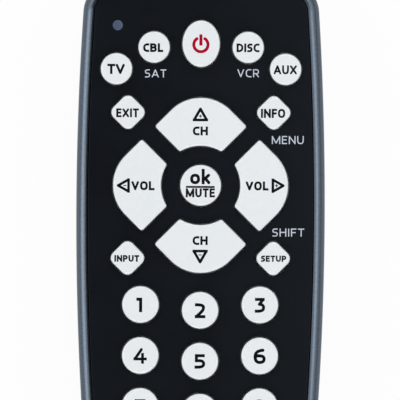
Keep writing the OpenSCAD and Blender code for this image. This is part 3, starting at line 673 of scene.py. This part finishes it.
def keyPlace(name):  # in mm; the arms stand round the middle key
    low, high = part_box("key_ok" if name in keyNames["arm"] else "key_" + name)
    return (low.x + high.x) / 2 / mm, (low.y + high.y) / 2 / mm


def plungerPlace(name):  # under the cap's middle, which is out along an arm
    (x, y), turn = keyPlace(name), math.radians(keyTurn(name))
    out = keySizes["arm"]["middle"] if name in keyNames["arm"] else 0
    return x - out * math.sin(turn), y + out * math.cos(turn)


def ovalOutline(wide, high, grow):
    points = []
    for i in range(keySteps["oval"]):
        turn = math.tau * i / keySteps["oval"]
        c, s = math.cos(turn), math.sin(turn)
        out = Vector((high * c, wide * s)).normalized() * grow
        points.append((wide / 2 * c + out.x, high / 2 * s + out.y))
    return points


def diamondOutline(side, radius, grow):
    reach, eighth, points = (side / 2 - radius) * math.sqrt(2), math.pi / 4, []
    for a in (0, math.pi / 2, math.pi, math.pi * 1.5):
        corner = (reach * math.cos(a), reach * math.sin(a))
        points += arcPoints(corner, radius + grow, a - eighth, a + eighth, keySteps["diamondCorner"])
    return points


def armOutline(size, grow):
    root, eighth = math.sqrt(2), math.pi / 4
    bend, inner = size["corner"] + grow, size["inner"] - grow
    k = (size["gap"] / 2 - grow) * root + bend * root
    x = (math.sqrt(2 * (inner + bend) ** 2 - k * k) - k) / 2
    near, reach = (x, x + k), size["half"] + grow * root - bend * root
    outer, tip = ((reach - k) / 2, (reach + k) / 2), (0, size["half"] - size["tip"] * root)
    half = (arcPoints((0, 0), inner, math.pi / 2, heading((0, 0), near), keySteps["armInner"])
            + arcPoints(near, bend, heading(near, (0, 0)), -eighth, keySteps["armNear"], 1)
            + arcPoints(outer, bend, -eighth, eighth, keySteps["armOuter"])
            + arcPoints(tip, size["tip"] + grow, eighth, math.pi / 2, keySteps["armTip"]))
    return mirrored(half)


def keyOutline(shape, grow):
    size = keySizes[shape]
    if shape == "oval":
        return ovalOutline(*size, grow)
    if shape == "diamond":
        return diamondOutline(*size, grow)
    if shape == "arm":
        return armOutline(size, grow)
    return arcPoints((0, 0), size / 2 + grow, 0, math.tau, keySteps["round"], 1)


def modelKey(shape):  # flange, cap with a rounded edge, plunger
    k = keyCap
    cap = startOutline("keyMaster_" + shape, keyOutline(shape, k["flange"]), k["flangeLow"])
    raiseBy(k["flangeTop"] - k["flangeLow"])
    insetBy(k["flange"])
    raiseBy(k["top"] - k["flangeTop"])
    bevelBy(k["edge"], k["edgeSteps"])
    closeShape()
    y = keySizes["arm"]["middle"] if shape == "arm" else 0
    return addTo(cap, startRod("plunger", k["plunger"], 0, y, k["plungerLow"], k["flangeLow"] + weld,
                               k["plungerSides"]))


for shape, names in keyNames.items():
    master = modelKey(shape)
    for name in names:
        key = copyOf(master, "keycap_" + name, *keyPlace(name), keyTurn(name))
        finishPiece(key, "key_" + name, "key", ["key_" + name], even=True)
    discard(master)
print("keys made:", sum(len(names) for names in keyNames.values()))


# face plate

facePlate = {"inset": 2.5, "under": 20.2, "skirt": 1.0, "skirtLow": 17.2, "edge": 0.25, "edgeSteps": 3,
             "flare": 0.14, "flareShare": 0.3, "boss": 2.4, "bossBore": 1.05, "bossLow": 17.1}
lensShape = {"x": -18.1, "y": 74.85, "radius": 1.15, "gap": 0.05, "low": 18.3,
             "flange": 1.85, "flangeLow": 19.2, "flangeTop": 20.2,
             "crown": ((0, 0.16), (0.12, 0.06), (0.46, 0.02))}  # in from the edge, down


def modelAperture(shape):  # tool for a key's opening, flared at the face
    flare, share, top = facePlate["flare"], facePlate["flareShare"], caseShape["height"]
    tool = startOutline("aperture_" + shape, keyOutline(shape, keyCap["gap"] + flare), top + past)
    raiseBy(-past)
    insetBy(flare * share, flare * (share - 1))
    insetBy(flare * (1 - share), -flare * share)
    raiseBy(facePlate["skirtLow"] - top + flare)
    closeShape()
    return tool


def makeFace():
    f, h, s, top = facePlate, screwHole, lensShape, caseShape["height"]
    plate = startOutline("face_plate", caseOutline(f["inset"]), f["skirtLow"])
    raiseBy(top - f["skirtLow"])
    bevelBy(f["edge"], f["edgeSteps"])
    pickLevel(plate, 'FACE', f["skirtLow"])
    insetBy(f["skirt"])
    raiseBy(f["under"] - f["skirtLow"])
    closeShape()
    addTo(plate, rodPair("boss", f["boss"], h["x"], h["y"], f["bossLow"], f["under"] + weld))
    cutFrom(plate, rodPair("bossBore", f["bossBore"], h["x"], h["y"], f["bossLow"] - past, f["under"]))
    tools = [startRod("lensBore", s["radius"] + s["gap"], s["x"], s["y"], f["skirtLow"], top + past)]
    for shape, names in keyNames.items():
        master = modelAperture(shape)
        tools += [copyOf(master, "aperture", *keyPlace(name), keyTurn(name)) for name in names]
        discard(master)
    cutFrom(plate, joinPieces(tools, "apertures"))
    finishPiece(plate, "case", "face", ["front_shell"], even=True)


makeFace()
print("face plate made")


# lens and infrared window

def makeLens():
    s, top, radius, flange = lensShape, caseShape["height"], lensShape["radius"], lensShape["flange"]
    profile = [(0, s["low"]), (radius, s["low"]), (radius, s["flangeLow"]), (flange, s["flangeLow"]),
               (flange, s["flangeTop"]), (radius, s["flangeTop"]),
               *((radius - inwards, top - down) for inwards, down in s["crown"]), (0, top)]
    lens = turnedPiece("indicator_light_pipe", profile, s["x"], s["y"])
    finishPiece(lens, "case", "lens", ["indicator_lens"])


window = {"halfWidth": 10, "low": 7.9, "high": 14.9, "back": 3.4, "flange": 2.4, "flangeOut": 1.1}


def archSlice(name, outside, inside, halfWidth, low, high):  # a piece of the arched end wall
    slab = caseSlab(name, outside, low, high)
    cutFrom(slab, caseSlab("hollow", inside, low - past, high + past))
    keepSide(slab, 'Y', screwHole["y"], above=True)
    keepSide(slab, 'X', halfWidth, above=False)
    keepSide(slab, 'X', -halfWidth, above=True)
    return slab


def makeWindow():
    w, out = window, window["flangeOut"]
    wide, low, high = w["halfWidth"], w["low"], w["high"]
    pane = archSlice("infrared_window", 0, w["back"], wide, low, high)
    addTo(pane, archSlice("rim", w["flange"], w["back"], wide + out, low - out, high + out))
    finishPiece(pane, "case", "window", ["ir_window"], even=True)


makeLens()
makeWindow()
print("lens and window made")


# rubber mat and its domes

mat = {"inset": 4.0, "low": 17.1, "high": 17.9, "end": -49.25, "start": 79.5, "bossGap": 0.2,
       "bore": 2.05, "foot": 3.2, "domeTop": 2.6, "domeHigh": 18.95, "domeSides": 32, "pressed": 0.5,
       "domeEdge": ((0.1, 0.15), (-0.05, 0))}  # out from the top's radius, down


def makeMat():
    m, h, low, high = mat, screwHole, mat["low"] - past, mat["high"] + past
    sheet = caseSlab("rubber_mat", m["inset"], m["low"], m["high"])
    keepSide(sheet, 'Y', m["start"], above=False)
    keepSide(sheet, 'Y', m["end"], above=True)
    profile = [(m["bore"], m["low"]), (m["foot"], m["low"]), (m["foot"], m["high"]),
               *((m["domeTop"] + out, m["domeHigh"] - down) for out, down in m["domeEdge"]),
               (m["bore"], m["domeHigh"])]
    master = turnedPiece("domeMaster", profile, 0, 0, steps=m["domeSides"])
    holes = [startRod("lensRoom", lensShape["flange"], lensShape["x"], lensShape["y"], low, high),
             rodPair("bossRoom", facePlate["boss"] + m["bossGap"], h["x"], h["y"], low, high)]
    for name in sum(keyNames.values(), []):
        x, y = plungerPlace(name)
        holes.append(startRod("domeRoom", m["foot"], x, y, low, high, m["domeSides"]))
        dome = copyOf(master, "rubber_dome_" + name, x, y)
        finishPiece(dome, "case", "rubber")
        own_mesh(dome)
    discard(master)
    cutFrom(sheet, joinPieces(holes, "holes"))
    finishPiece(sheet, "case", "rubber", ["keypad_mat"])


makeMat()
print("mat and domes made")


# cells and their springs

cell = {"radius": 5.25, "length": 44.5, "bevel": 0.4, "edge": (0.1, 0.12), "crimp": (0.9, 1.1),
        "flatDip": 0.15, "nub": 1.9, "nubHigh": 0.9, "nubEdge": 0.25, "nubFoot": 0.3, "nubDip": 0.2,
        "band": 8, "jacketIn": 0.48,
        "z": 9.25, "left": (-5.6, -74.6, 1), "right": (5.6, -36.1, -1)}


def makeCell(side):  # flat end at its start, nub at the other
    c, (x, start, way) = cell, cell[side]
    r, b, nub, length, dip = c["radius"], c["bevel"], c["nub"], c["length"], c["flatDip"]
    can = length - c["nubHigh"]
    ring, dish = [r - inwards for inwards in c["crimp"]]
    edge, drop = c["edge"]
    profile = [(0, dip), (dish, dip), (ring, 0), (r - b, 0), (r - edge, drop), (r, b), (r, can - c["band"]),
               (r, can - b), (r - edge, can - drop), (r - b, can), (ring, can), (dish, can - c["nubDip"]),
               (nub + c["nubFoot"], can - c["nubDip"]), (nub, can), (nub, length - c["nubEdge"]),
               (nub - c["nubEdge"], length), (0, length)]
    body = turnedPiece("cell_" + side, [(radius, way * y) for radius, y in profile], x, start, c["z"],
                       alongY=True)
    finishPiece(body, "case", "nickel", ["battery_" + side])
    body.data.materials.append(finishes["jacket"])
    body.data.materials.append(finishes["band"])
    for face in body.data.polygons:
        out = math.hypot(face.center.x / mm - x, face.center.z / mm - c["z"])
        along = (face.center.y / mm - start) * way
        if out > r - c["jacketIn"]:
            face.material_index = 2 if along > can - c["band"] else 1


spring = {"foot": 3.2, "tip": 2.0, "wire": 0.6, "curls": 2.5, "flat": 0.75, "length": 6.0, "steps": 120,
          "roundness": 3, "left": (-5.6, -80.6, 1), "right": (5.6, -30.1, -1)}


def coilPoints(x, start, way):  # narrows towards the cell, with turns that lie flat at both ends
    s, points = spring, []
    turns, rise = s["curls"] + 2 * s["flat"], s["length"] - s["wire"]
    for i in range(s["steps"] + 1):
        turn = turns * i / s["steps"]
        t = min(1, max(0, (turn - s["flat"]) / s["curls"]))
        radius = s["foot"] - s["wire"] / 2 + (s["tip"] - s["foot"]) * t
        y = start + way * (s["wire"] / 2 + rise * t)
        a = math.tau * turn
        points.append((x + radius * math.cos(a), y, cell["z"] + radius * math.sin(a), 1))
    return points


def makeSprings():  # one fine coil for each cell
    coils = [tubePiece("coil", [(coilPoints(*spring[side]), False)], spring["wire"], spring["roundness"])
             for side in ("left", "right")]
    pair = joinPieces(coils, "cell_springs")
    finishPiece(pair, "case", "nickel", ["contact_springs"], angle=60)


for side in ("left", "right"):
    makeCell(side)
makeSprings()
print("cells and springs made")


# printed legends: pen strokes, eased where a corner has a radius

def roundLoop(left, low, right, high, radius):  # closed stroke
    corners = ((right, low), (right, high), (left, high), (left, low))
    return [(0.5, low), *((u, v, radius) for u, v in corners), (0.5, low)]


glyphs = {  # width in cap heights and strokes in its box; a third number is a corner's radius
    "A": (0.86, [[(0, 0), (0.5, 1)], [(1, 0), (0.5, 1)], [(0.2, 0.28), (0.8, 0.28)]]),
    "B": (0.76, [[(0, 0), (0, 1), (0.94, 1, 0.25), (0.94, 0.53, 0.25), (0, 0.53)],
                 [(0.4, 0.53), (1, 0.53, 0.27), (1, 0, 0.27), (0, 0)]]),
    "C": (0.69, [[(1, 1), (0, 1, 0.38), (0, 0, 0.38), (1, 0)]]),
    "D": (0.78, [[(0, 0), (0, 1), (1, 1, 0.44), (1, 0, 0.44), (0, 0)]]),
    "E": (0.62, [[(1, 1), (0, 1), (0, 0), (1, 0)], [(0, 0.52), (0.88, 0.52)]]),
    "F": (0.6, [[(0, 0), (0, 1), (1, 1)], [(0, 0.5), (0.88, 0.5)]]),
    "H": (0.76, [[(0, 0), (0, 1)], [(1, 0), (1, 1)], [(0, 0.52), (1, 0.52)]]),
    "I": (0, [[(0.5, 0), (0.5, 1)]]),
    "L": (0.62, [[(0, 1), (0, 0), (1, 0)]]),
    "M": (1, [[(0, 0), (0, 1), (0.5, 0.06), (1, 1), (1, 0)]]),
    "N": (0.8, [[(0, 0), (0, 1), (1, 0), (1, 1)]]),
    "O": (0.84, [roundLoop(0, 0, 1, 1, 0.6)]),
    "P": (0.7, [[(0, 0), (0, 1), (1, 1, 0.3), (1, 0.42, 0.3), (0, 0.42)]]),
    "R": (0.72, [[(0, 0), (0, 1), (1, 1, 0.3), (1, 0.44, 0.3), (0, 0.44)], [(0.5, 0.44), (1, 0)]]),
    "S": (0.62, [[(0.95, 1), (0, 1, 0.3), (0, 0.52, 0.26), (1, 0.52, 0.26), (1, 0, 0.3), (0.02, 0)]]),
    "T": (0.7, [[(0, 1), (1, 1)], [(0.5, 1), (0.5, 0)]]),
    "U": (0.78, [[(0, 1), (0, 0, 0.4), (1, 0, 0.4), (1, 1)]]),
    "V": (0.82, [[(0, 1), (0.5, 0)], [(1, 1), (0.5, 0)]]),
    "X": (0.8, [[(0, 0), (1, 1)], [(0, 1), (1, 0)]]),
    "o": (0.68, [roundLoop(0, 0, 1, 0.6, 0.4)]),
    "k": (0.6, [[(0, 0), (0, 1)], [(0, 0.2), (0.95, 0.6)], [(0.38, 0.34), (1, 0)]]),
    "0": (0.76, [roundLoop(0, 0, 1, 1, 0.6)]),
    "1": (0.4, [[(0, 1), (1, 1), (1, 0)]]),
    "2": (0.76, [[(0.02, 1), (0.95, 1, 0.42), (0.95, 0.55, 0.3), (0, 0), (1, 0)]]),
    "3": (0.74, [[(0.02, 1), (0.94, 1), (0.42, 0.58), (1, 0.58, 0.3), (1, 0, 0.4), (0, 0)]]),
    "4": (0.84, [[(0.62, 1), (0, 0.26), (1, 0.26)], [(0.73, 0.62), (0.73, 0)]]),
    "5": (0.74, [[(0.94, 1), (0.04, 1), (0.04, 0.56), (1, 0.56, 0.32), (1, 0, 0.4), (0, 0)]]),
    "6": (0.8, [[(0.86, 1), (0, 0.94, 0.46), (0, 0, 0.4), (1, 0, 0.4), (1, 0.56, 0.38), (0.05, 0.53)]]),
    "7": (0.74, [[(0, 1), (1, 1), (0.36, 0)]]),
    "8": (0.78, [roundLoop(0.94, 1, 0.06, 0.54, 0.3), roundLoop(0, 0, 1, 0.52, 0.34)]),
    "9": (0.8, [[(0.14, 0), (1, 0.06, 0.46), (1, 1, 0.4), (0, 1, 0.4), (0, 0.44, 0.38), (0.95, 0.47)]]),
    "-": (0.55, [[(0, 0.5), (1, 0.5)]]),
}
ink = {"thick": 0.02, "letterGap": 0.11, "tight": {"TV": 0.05}, "easeSteps": 8, "roundness": 2,
       "slant": 0.05, "slantedEnd": (0.35, 0.7, 1.1, 1.45)}  # turns round a slanted stroke's end


def easeCorner(before, corner, after, radius):  # a leg between two soft corners is shared by them
    b = Vector(corner[:2])
    legs = [Vector(end[:2]) - b for end in (before, after)]
    room = [leg.length * (0.5 if len(end) == 3 else 1) for leg, end in zip(legs, (before, after))]
    start, stop = [b + leg.normalized() * min(radius, reach) for leg, reach in zip(legs, room)]
    path = []
    for i in range(ink["easeSteps"] + 1):
        t = i / ink["easeSteps"]
        path.append(tuple(start.lerp(b, t).lerp(b.lerp(stop, t), t)))
    return path


def penPaths(points):  # points in mm; a sharp corner ends one path and starts the next
    paths, path = [], [points[0][:2]]
    for before, here, after in zip(points, points[1:], points[2:]):
        if len(here) == 3:
            path += easeCorner(before, here, after, here[2])
        else:
            paths.append(path + [here])
            path = [here]
    return paths + [path + [points[-1][:2]]]


def wordPaths(text, x, y, cap, width, stroke, letterGap=ink["letterGap"]):  # about its middle
    widths = [max(glyphs[letter][0] * cap, stroke) for letter in text]
    gap = ink["tight"].get(text, letterGap) * cap
    fit = width / (sum(widths) + gap * (len(text) - 1))
    left, foot, high, paths = x - (width - stroke) / 2, y - (cap - stroke) / 2, cap - stroke, []
    for letter, wide in zip(text, widths):
        wide = max(wide * fit, stroke)
        for points in glyphs[letter][1]:
            paths += penPaths([(left + right * (wide - stroke), foot + up * high, *[r * cap for r in radius])
                               for right, up, *radius in points])
        left += wide + gap * fit
    return paths


def penEnd(inner, end, stroke):  # square on upright and level strokes, round on slanted ones
    end = Vector(end)
    way = (end - Vector(inner)).normalized()
    steps = [(stroke / 2, 1)]
    if min(abs(way.x), abs(way.y)) > ink["slant"]:
        steps = [(math.sin(a) * stroke / 2, math.cos(a)) for a in ink["slantedEnd"]]
    return [(*(end + way * out), 0, thick) for out, thick in steps]


def strokePoints(path, stroke):  # for tubePiece; a closed stroke has no ends
    path = [p for i, p in enumerate(path) if i == 0 or math.dist(p, path[i - 1]) > tiny]
    points = [(*p, 0, 1) for p in path]
    if math.dist(path[0], path[-1]) < tiny:
        return points[:-1], True
    return penEnd(path[1], path[0], stroke)[::-1] + points + penEnd(path[-2], path[-1], stroke), False


def inkPiece(name, layers, body, finish, z):  # layers of (stroke width, paths), laid flat on a surface
    parts = []
    for stroke, paths in layers:
        part = tubePiece(name, [strokePoints(path, stroke) for path in paths], stroke, ink["roundness"])
        part.scale.z = ink["thick"] / stroke
        part.location.z = (z + ink["thick"] / 2) * mm
        applyPlace(scaled=True)
        parts.append(part)
    finishPiece(joinPieces(parts, name), body, finish)


def inkPatches(name, outlines, body, finish, z):  # solid marks, such as a stop square
    patches = [startSlab(name, points, z, z + ink["thick"]) for points in outlines]
    finishPiece(joinPieces(patches, name), body, finish)


def inkKey(name, layers, finish="ink"):
    inkPiece("print_" + name, layers, "key_" + name, finish, keyCap["top"])


keyWords = {  # text, place from the key's middle, cap height, width, stroke
    "tv": ("TV", -0.09, -0.04, 2.19, 3.78, 0.51),
    "cable": ("CBL", -0.21, -0.14, 1.89, 4.35, 0.48),
    "disc": ("DISC", -0.04, -0.1, 1.87, 4.95, 0.44),
    "aux": ("AUX", -0.08, -0.1, 1.95, 5.02, 0.41),
    "exit": ("EXIT", -0.12, -0.13, 1.9, 4.86, 0.425),
    "info": ("INFO", -0.16, -0.13, 1.96, 5.24, 0.44),
    "input": ("INPUT", -0.15, -0.1, 1.43, 5.38, 0.36),
    "setup": ("SETUP", 0.1, -0.04, 1.34, 5.47, 0.34),
    "1": ("1", -0.25, -0.08, 3.14, 1.25, 0.68),
    "2": ("2", -0.01, -0.09, 3.24, 2.3, 0.665),
    "3": ("3", 0.03, -0.07, 3.22, 2.24, 0.66),
    "4": ("4", -0.03, -0.09, 3.38, 2.88, 0.61),
    "5": ("5", -0.01, -0.03, 3.15, 2.31, 0.66),
    "6": ("6", 0, -0.08, 3.32, 2.63, 0.69),
    "7": ("7", 0, -0.05, 3.22, 2.3, 0.66),
    "8": ("8", 0, -0.05, 3.22, 2.45, 0.66),
    "9": ("9", 0, -0.05, 3.3, 2.6, 0.68),
    "dash": ("-", 0, 0, 3, 2, 0.66),
    "0": ("0", 0, -0.05, 3.22, 2.4, 0.66),
    "enter": ("ENT", 0, -0.05, 1.8, 4.4, 0.43),
}


def wordOn(key, text, right, up, cap, width, stroke):
    x, y = keyPlace(key)
    return stroke, wordPaths(text, x + right, y + up, cap, width, stroke)


def printKeyWords():
    for name, word in keyWords.items():
        inkKey(name, [wordOn(name, *word)])


armWords = {  # word, then pointer with its turn and sign, placed from the pad's centre
    "channel_up": (("CH", -0.1, 11.8, 1.91, 3.26, 0.47), (-0.1, 15.47, 3.31, 3.15, 0.58, 0, "+")),
    "channel_down": (("CH", -0.05, -11.97, 1.9, 3.26, 0.47), (-0.05, -15.53, 3.31, 3.15, 0.58, 180, "-")),
    "volume_down": (("VOL", -12.5, -0.12, 1.95, 5.01, 0.48), (-16.85, -0.09, 3.12, 3.01, 0.56, 90, "-")),
    "volume_up": (("VOL", 12.25, -0.08, 1.95, 4.93, 0.48), (16.89, -0.01, 3.12, 3.01, 0.56, -90, "+")),
}
armSign = {"stroke": 0.2, "down": 0.14, "reach": 0.07, "tipIn": 0.8}  # shares of the pointer, tip in strokes
middleWords = {"ok": ("ok", -0.08, 1.92, 3.32, 4.39, 0.66), "mute": ("MUTE", -0.06, -1.62, 1.93, 6.3, 0.44),
               "bar": (-2.96, 2.84, -0.34, 0.42)}


def triangleMark(x, y, wide, high, stroke, turn, sign):  # hollow pointer with a small sign inside
    c, s = math.cos(math.radians(turn)), math.sin(math.radians(turn))
    edge = stroke / 2
    spots = ((edge - wide / 2, edge - high / 2), (wide / 2 - edge, edge - high / 2),
             (0, high / 2 - stroke * armSign["tipIn"]), (0, -high * armSign["down"]))
    *corners, (signX, signY) = [(x + u * c - v * s, y + u * s + v * c) for u, v in spots]
    outline = [[corners[i], corners[(i + 1) % 3]] for i in range(3)]
    reach = wide * armSign["reach"]
    lines = [[(signX - reach, signY), (signX + reach, signY)]]
    if sign == "+":
        lines.append([(signX, signY - reach), (signX, signY + reach)])
    return outline, lines


def printPad():
    x, y = keyPlace("ok")
    for name, (word, (right, up, wide, high, stroke, turn, sign)) in armWords.items():
        mark, lines = triangleMark(x + right, y + up, wide, high, stroke, turn, sign)
        inkKey(name, [wordOn("ok", *word), (stroke, mark), (armSign["stroke"], lines)])
    start, stop, up, stroke = middleWords["bar"]
    line = [(x + start, y + up), (x + stop, y + up)]
    inkKey("ok", [wordOn("ok", *middleWords["ok"]), wordOn("ok", *middleWords["mute"]), (stroke, [line])])


powerMark = {"x": -0.06, "ringDown": 0.2, "radius": 1.54, "turns": (124, 416), "steps": 40,
             "stem": (1.68, -0.06), "stroke": 0.66}


def printPower():  # open ring with a stem in its gap
    p, (x, y) = powerMark, keyPlace("power")
    x += p["x"]
    start, stop = [math.radians(a) for a in p["turns"]]
    ring = arcPoints((x, y - p["ringDown"]), p["radius"], start, stop, p["steps"])
    stem = [(x, y + up) for up in p["stem"]]
    inkKey("power", [(p["stroke"], [ring, stem])], "redInk")


faceWords = (("SAT", -9.86, 64.4, 4.62), ("VCR", 10.23, 64.53, 4.68), ("MENU", 18.88, 50.06, 6.92),
             ("SHIFT", 19.07, 29.98, 6.92))
faceLetters = {"cap": 1.75, "stroke": 0.23, "letterGap": 0.2}


def printFace():
    words = []
    for text, x, y, width in faceWords:
        words += wordPaths(text, x, y, width=width, **faceLetters)
    inkPiece("print_face", [(faceLetters["stroke"], words)], "case", "faceInk", caseShape["height"])


transport = {"rewindAt": (-0.85, 0.75), "playAt": 0.12, "forwardAt": (-0.75, 0.85), "barAt": (-0.55, 0.55),
             "double": 1.6, "single": 2.2, "slope": 0.55, "dot": 1.05, "dotSteps": 32, "square": 2.0,
             "bar": (0.6, 2.2)}


def pointer(x, wide, way):  # solid triangle, to the right or to the left
    back, tip, half = x - way * wide / 2, x + way * wide / 2, wide * transport["slope"]
    return [(back, -half), (tip, 0), (back, half)][::way]


def bar(x, wide, high):
    return [(x + side * wide / 2, end * high / 2) for side, end in ((-1, -1), (1, -1), (1, 1), (-1, 1))]


def printTransport():
    t = transport
    marks = {
        "rewind": [pointer(x, t["double"], -1) for x in t["rewindAt"]],
        "play": [pointer(t["playAt"], t["single"], 1)],
        "forward": [pointer(x, t["double"], 1) for x in t["forwardAt"]],
        "record": [arcPoints((0, 0), t["dot"], 0, math.tau, t["dotSteps"], 1)],
        "stop": [bar(0, t["square"], t["square"])],
        "pause": [bar(x, *t["bar"]) for x in t["barAt"]],
    }
    for name, outlines in marks.items():
        x, y = keyPlace(name)
        outlines = [[(x + right, y + up) for right, up in outline] for outline in outlines]
        finish = "redInk" if name == "record" else "ink"
        inkPatches("print_" + name, outlines, "key_" + name, finish, keyCap["top"])


printKeyWords()
printPad()
printPower()
printFace()
printTransport()
print("legends printed")


# solids that keep their shape get their own finish

nodeFinishes = {
    "circuit_board": "board", "contact_pads": "carbon", "controller_chip": "chip", "resonator": "resonator",
    "capacitor": "sleeve", "chip_components": "ceramic", "ir_diode": "diode", "indicator_diode": "indicator",
    "positive_terminal": "nickel", "negative_terminal": "nickel", "link_contact": "nickel",
    "case_screws": "steel",
}
for node, finish in nodeFinishes.items():
    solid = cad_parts[node]
    solid.data.materials.clear()
    solid.data.materials.append(finishes[finish])
